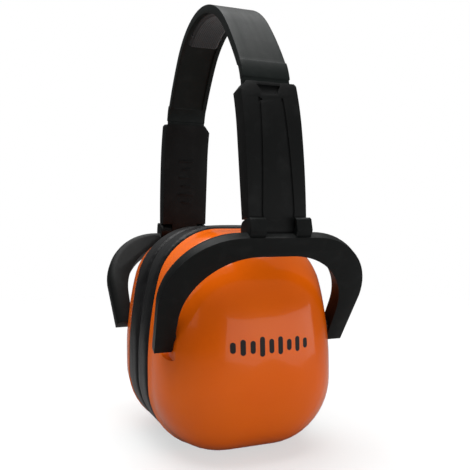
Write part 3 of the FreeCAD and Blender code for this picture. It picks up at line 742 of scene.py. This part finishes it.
def makeSleeve():
    s = sleeve
    piece = block("sleeve_right", (s["inner"], -s["halfWidth"], -s["length"]), (s["outer"], s["halfWidth"], 0))
    edit(piece)
    for row in range(1, s["rows"]):
        cut((0, 0, -s["length"] * row / s["rows"]), (0, 0, 1))
    lean = (s["panelLow"] - s["panelTop"]) / s["length"]
    for k in (-1, 1):
        for beyond in (0, s["grooveWide"]):
            cut((0, k * (s["panelTop"] + beyond), 0), (0, k, lean))
    cut((0, 0, -s["grooveStart"]), (0, 0, 1))

    def besidePanel(spot):  # how far outside the tapering panel's edge
        return abs(spot.y) - (s["panelTop"] - lean * spot.z)

    # the long tongue below, between the yoke's lugs
    choose(piece, "FACE", lambda spot, facing: facing.z < -0.9 and abs(spot.y) < s["panelLow"] + s["grooveWide"] * 0.9)
    reach = s["tongueHalf"] / (s["panelLow"] + s["grooveWide"])
    scaleAbout((0, 0, -s["length"]), 1, reach, 1)
    push(0, 0, -(s["tongueDrop"] + s["knuckle"]))
    scaleAbout(((s["inner"] + s["outer"]) / 2, 0, 0), 2 * s["knuckle"] / (s["outer"] - s["inner"]), 1, 1)
    # two grooves down the outer face
    choose(piece, "FACE", lambda spot, facing: facing.x > 0.9 and -s["length"] < spot.z < -s["grooveStart"]
           and 0 < besidePanel(spot) < s["grooveWide"])
    push(-s["grooveDeep"], 0, 0)
    # the outer face bows out, and both faces curl in towards the top
    leave()
    for vertex in piece.data.vertices:
        x, y, z = vertex.co
        if z < -s["length"] - mm(0.01):
            continue
        down = -z / s["length"]
        curl = max(0, 1 + z / s["curlLong"]) ** 2
        if x > 0:
            vertex.co.x += s["bow"] * 4 * down * (1 - down) - s["tuck"] * curl
        else:
            vertex.co.x -= s["flare"] * curl
    cleanUp(piece)
    # one top corner is cut off and the other is only eased
    for k, size in ((-1, s["cornerCut"]), (1, s["smallCorner"])):
        edit(piece)
        cut((0, k * s["halfWidth"], -size), (0, k, 0.85), use_fill=True, clear_outer=True)
        leave()
    # the cavity for the band, and a scoop with a small notch below it at the top of the panel
    carve(piece, block("cavity", (s["slotBack"], -s["slotHalf"], s["slotFloor"] - s["length"]),
                       (s["slotFront"], s["slotHalf"], mm(2))))
    scoop = block("scoop", (mm(0.6), -mm(5.2), -mm(5.6)), (mm(4), mm(5.2), -mm(1.5)))
    edit(scoop)
    choose(scoop, "VERT", lambda spot, facing: spot.z < -mm(5))
    scaleAbout((0, 0, -mm(5.6)), 1, 0.55, 1)
    shift(mm(0.75), 0, 0)
    leave()
    carve(piece, scoop)
    carve(piece, block("notch", (mm(1.9), -mm(5.4), -mm(8.6)), (mm(5), -mm(3.9), -mm(7.6))))
    # raised size ticks on the inner face
    ticks = []
    for number in range(s["ticks"]):
        half = s["tickHalf"][number % 2]
        z = -s["tickStart"] - number * s["tickPitch"]
        ticks.append(block("tick", (s["inner"] - s["tickProud"], -half, z - s["tickThin"]),
                           (s["inner"] + mm(0.5), half, z + s["tickThin"])))
    rounded = joinUp("ticks", *ticks)
    soften(rounded, mm(0.2), 2)
    carve(piece, rounded, "UNION")
    # the tongue's end is round about the pin
    edit(piece)
    low = -s["length"] - s["tongueDrop"] - s["knuckle"]
    choose(piece, "EDGE", lambda spot, along: abs(spot.z - low) < mm(0.05) and abs(along.y) > 0.9)
    bpy.ops.mesh.bevel(offset=s["knuckle"] * 0.97, segments=10, profile=0.5, affect="EDGES")
    leave()
    soften(piece, s["edge"], 3, 28)
    cleanUp(piece)
    smooth(piece, 32)
    return piece


rightSleeve = makeSleeve()
setDown(rightSleeve, sleeveTop, -leaning)
for side, piece in (("right", rightSleeve), ("left", otherSide(rightSleeve, "sleeve_left"))):
    coat(piece, "sleeve")
    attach(piece, "sleeve_" + side)
    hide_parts("adjuster_sleeve_" + side)
    finishNode("fold_pin_" + side, "pin")
print("sleeves made")


# ---- cups ----

cup = {"corners": ((41.3, 0, 30), (41.3, 58.8, 19.7), (30.1, 98, 21.1)), "rim": mm(18.8), "face": mm(58),
       "power": 2.4, "centre": mm(46), "flange": mm(3), "step": mm(0.8), "wall": mm(2.6),
       "rings": 20, "cornerSegments": 12,
       "recessIn": mm(35.7), "recessRadius": mm(9.84), "bossIn": mm(30.4), "bossRadius": mm(12.0),
       "sideRod": mm(20), "tilt": (mm(38), mm(54))}


def makeOutline(name, x, grow=0, lift=0):  # a flat face with the cup's outline
    piece = roundedFace(name, x, cup["corners"], cup["cornerSegments"])
    if grow or lift:
        wide, high = cup["corners"][0][0], cup["corners"][-1][1] / 2
        edit(piece)
        bpy.ops.mesh.select_all(action="SELECT")
        scaleAbout((0, 0, mm(high)), 1, 1 + grow / mm(wide), 1 + grow / mm(high))
        shift(0, 0, lift)
        leave()
    return piece


def makeShell():
    c = cup
    piece = makeOutline("shell_right", c["rim"])
    edit(piece)
    middle = (0, 0, c["centre"])
    bpy.ops.mesh.select_all(action="SELECT")
    push(c["flange"], 0, 0)
    choose(piece, "FACE", lambda spot, facing: abs(facing.x) > 0.9 and spot.x > c["rim"] + mm(1))
    inward = 1 - c["step"] / mm(41.3)
    scaleAbout((0, 0, mm(49)), 1, inward, 1 - c["step"] / mm(49))
    last, lastScale = c["flange"] / (c["face"] - c["rim"]), 1
    for ring in range(1, c["rings"] + 1):
        angle = math.radians(88.5) * ring / c["rings"]
        along = math.sin(angle) ** (2 / c["power"])
        if along < last + 0.03:
            continue
        share = (1 - along ** c["power"]) ** (1 / c["power"])
        push((along - last) * (c["face"] - c["rim"]), 0, 0)
        scaleAbout(middle, 1, share / lastScale, share / lastScale)
        last, lastScale = along, share
    push((1 - last) * (c["face"] - c["rim"]), 0, 0)
    bpy.ops.mesh.merge(type="CENTER")
    choose(piece, "FACE", lambda spot, facing: abs(spot.x - c["rim"]) < mm(0.01) and abs(facing.x) > 0.9)
    bpy.ops.mesh.delete(type="FACE")
    leave()
    cleanUp(piece)
    return piece


def sideRod(name, k, inner, radius):  # a rod about the tilt axis, outwards from one side of the cup
    x, z = cup["tilt"]
    return rod(name, (x, k * (inner + cup["sideRod"] / 2), z), radius, cup["sideRod"], "Y", 72)


rightShell = makeShell()
solid = copyOf(rightShell, "solid")  # the dome closed, to keep the bosses inside it
edit(solid)
bpy.ops.mesh.select_all(action="DESELECT")
bpy.ops.mesh.select_mode(type="EDGE")
bpy.ops.mesh.select_non_manifold()
bpy.ops.mesh.edge_face_add()
leave()
cleanUp(solid)
treat(rightShell, "SOLIDIFY", thickness=cup["wall"], offset=-1, use_even_offset=True)
for k in (-1, 1):
    boss = sideRod("boss", k, cup["bossIn"], cup["bossRadius"])
    treat(boss, "BOOLEAN", object=solid, operation="INTERSECT", solver="EXACT")
    carve(rightShell, boss, "UNION")
bpy.data.objects.remove(solid)
for k in (-1, 1):
    carve(rightShell, sideRod("recess", k, cup["recessIn"], cup["recessRadius"]))
soften(rightShell, mm(0.35), 3, 40)
cleanUp(rightShell)
smooth(rightShell, 30)
for side, piece in (("right", rightShell), ("left", otherSide(rightShell, "shell_left"))):
    coat(piece, "shell")
    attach(piece, "cup_" + side)
    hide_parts("cup_shell_" + side)
    finishNode("seal_plate_" + side, "inner")
    finishNode("cushion_frame_" + side, "inner")
print("shells made")


# ---- yokes, drawn upright about the tilt axis: X outwards, Y across, Z up the lean ----

yoke = {"outer": ((43.6, -5.4, 0), (45.3, 19, 0), (45.3, 49.2, 29.8)), "inner": ((36, -30, 0), (36, 40.5, 29)),
        "segments": 18, "deep": mm(7), "lean": 32.0, "backBevel": mm(3.6), "edge": mm(0.75),
        "foldUp": mm(48.6), "foldOut": mm(-3.75), "lugHalf": mm(13.2), "lugRadius": mm(3.6), "tongueHalf": mm(7.5),
        "lugRoom": mm(3.8), "lugReach": mm(4.1), "lugFront": mm(2.4), "lugBevel": mm(3.2),
        "studRadius": mm(2.6), "studIn": mm(32), "studOut": mm(40), "pinHole": mm(1.25)}


def makeYoke():
    y = yoke
    piece = roundedFace("hoop_right", -y["deep"] / 2, y["outer"], y["segments"])
    edit(piece)
    bpy.ops.mesh.select_all(action="SELECT")
    push(y["deep"], 0, 0)
    leave()
    cleanUp(piece)
    edit(piece)
    low = mm(y["outer"][0][1])
    choose(piece, "EDGE", lambda spot, along: spot.x < -y["deep"] * 0.49 and spot.z > low + mm(0.1))
    bpy.ops.mesh.bevel(offset=y["backBevel"], segments=4, profile=0.5, affect="EDGES", clamp_overlap=False)
    leave()
    opening = roundedFace("opening", -mm(20), y["inner"], 24)
    edit(opening)
    bpy.ops.mesh.select_all(action="SELECT")
    push(mm(40), 0, 0)
    leave()
    cleanUp(opening)
    carve(piece, opening)
    # hinge lugs: a wedge up from the bar to the sleeve's end, at each side of the tongue
    slope, axis = math.radians(y["lean"] + band["sleeveLean"]), Vector((y["foldOut"], 0, y["foldUp"]))
    top = mm(y["outer"][-1][1])
    for k in (-1, 1):
        near, far = sorted((k * (y["tongueHalf"] - mm(1)), k * y["lugHalf"]))
        lug = block("lug", (y["foldOut"] - mm(2), near, top - mm(5.5)), (y["lugFront"], far, top + mm(6)))
        edit(lug)
        for facing, apart in ((Vector((math.cos(slope), 0, math.sin(slope))), mm(0.4)),
                              (Vector((math.sin(slope), 0, -math.cos(slope))), y["lugReach"])):
            cut(axis - facing * apart, facing, clear_inner=True, use_fill=True)  # room for the sleeve's end
        choose(lug, "EDGE", lambda spot, along: spot.x > y["lugFront"] * 0.95 and spot.z > top
               and abs(along.y) > 0.9)
        bpy.ops.mesh.bevel(offset=y["lugBevel"], segments=1, affect="EDGES", clamp_overlap=False)
        leave()
        carve(piece, lug, "UNION")
        knuckle = rod("knuckle", (y["foldOut"], (near + far) / 2, y["foldUp"]), y["lugRadius"], far - near, "Y", 40)
        carve(piece, knuckle, "UNION")
    carve(piece, rod("room", (y["foldOut"], 0, y["foldUp"]), y["lugRoom"], 2 * y["tongueHalf"], "Y", 48))
    carve(piece, block("roomBack", (y["foldOut"] - mm(8), -y["tongueHalf"], y["foldUp"] - mm(1)),
                       (y["foldOut"] + mm(3.4), y["tongueHalf"], top + mm(5))))
    carve(piece, rod("pinHole", (y["foldOut"], 0, y["foldUp"]), y["pinHole"], 2 * y["lugHalf"] - mm(0.6), "Y", 24))
    for k in (-1, 1):
        inner, outer = y["studIn"], y["studOut"]
        stud = rod("stud", (0, k * (inner + outer) / 2, 0), y["studRadius"], outer - inner, "Y", 40)
        carve(piece, stud, "UNION")
    soften(piece, y["edge"], 3, 30)
    cleanUp(piece)
    smooth(piece, 32)
    return piece


rightYoke = makeYoke()
setDown(rightYoke, (cup["tilt"][0], 0, cup["tilt"][1]), math.radians(yoke["lean"]))
for side, piece in (("right", rightYoke), ("left", otherSide(rightYoke, "hoop_left"))):
    coat(piece, "yoke")
    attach(piece, "yoke_" + side)
    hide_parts("yoke_" + side)
print("yokes made")


# ---- cushions and liners ----

cushion = {"far": mm(17.3), "near": mm(0.3), "grow": mm(0.5), "lift": mm(1.1), "earHalf": mm(18), "earLow": mm(38),
           "earHigh": mm(58)}


def earCutter(low, high):  # an upright oval bar through the cushion
    half = cushion["earHalf"]
    middle = block("ear", (low, -half, cushion["earLow"]), (high, half, cushion["earHigh"]))
    for z in (cushion["earLow"], cushion["earHigh"]):
        carve(middle, rod("earEnd", ((low + high) / 2, 0, z), half, high - low, "X", 64), "UNION")
    return middle


def makeCushion():
    c = cushion
    piece = makeOutline("cushion_right", c["near"], c["grow"], c["lift"])
    edit(piece)
    bpy.ops.mesh.select_all(action="SELECT")
    push(c["far"] - c["near"], 0, 0)
    leave()
    cleanUp(piece)
    carve(piece, earCutter(-mm(5), mm(30)))
    soften(piece, mm(5.8), 6, 50)
    return piece


def puff(piece, voxel, cap, floorX, pressure=4.0):  # remeshes, blows up as cloth, and caps how far it swells
    treat(piece, "REMESH", mode="VOXEL", voxel_size=voxel)
    before = [vertex.co.copy() for vertex in piece.data.vertices]
    only(piece)
    cloth = piece.modifiers.new("Cloth", "CLOTH")
    cloth.settings.use_pressure = True
    cloth.settings.uniform_pressure_force = pressure
    cloth.settings.quality = 5
    cloth.settings.tension_stiffness = cloth.settings.compression_stiffness = 12
    cloth.settings.effector_weights.gravity = 0
    cloth.point_cache.frame_start, cloth.point_cache.frame_end = 1, 20
    for number in range(1, 21):
        bpy.context.scene.frame_set(number)
    bpy.ops.object.modifier_apply(modifier=cloth.name)
    bpy.context.scene.frame_set(1)
    for vertex, start in zip(piece.data.vertices, before):
        moved = vertex.co - start
        if moved.length > cap:
            vertex.co = start + moved * (cap / moved.length)
        vertex.co.x = min(max(vertex.co.x, floorX), cushion["far"])


rightCushion = makeCushion()
puff(rightCushion, mm(1.8), mm(1.2), mm(0.25))
treat(rightCushion, "SMOOTH", factor=0.5, iterations=4)
treat(rightCushion, "SUBSURF", levels=1, render_levels=1)
smooth(rightCushion, 60)
for side, piece in (("right", rightCushion), ("left", otherSide(rightCushion, "cushion_left"))):
    k = 1 if side == "right" else -1
    coat(piece, "cushion")
    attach(piece, "cup_" + side)
    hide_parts("cushion_cover_" + side, "cushion_foam_" + side)
    "tilt_" + side
    k * cushion["far"]
    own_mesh(piece)
print("cushions made")

liner = {"near": mm(20.9), "far": mm(43.6), "inset": mm(15.6)}
rightLiner = makeOutline("liner_right", liner["near"], -liner["inset"])
edit(rightLiner)
bpy.ops.mesh.select_all(action="SELECT")
push(liner["far"] - liner["near"], 0, 0)
leave()
cleanUp(rightLiner)
soften(rightLiner, mm(3), 4, 50)
puff(rightLiner, mm(2), mm(0.2), mm(20.9))
smooth(rightLiner, 60)
for side, piece in (("right", rightLiner), ("left", otherSide(rightLiner, "liner_left"))):
    coat(piece, "liner")
    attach(piece, "cup_" + side)
    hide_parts("cup_liner_" + side)
print("liners made")
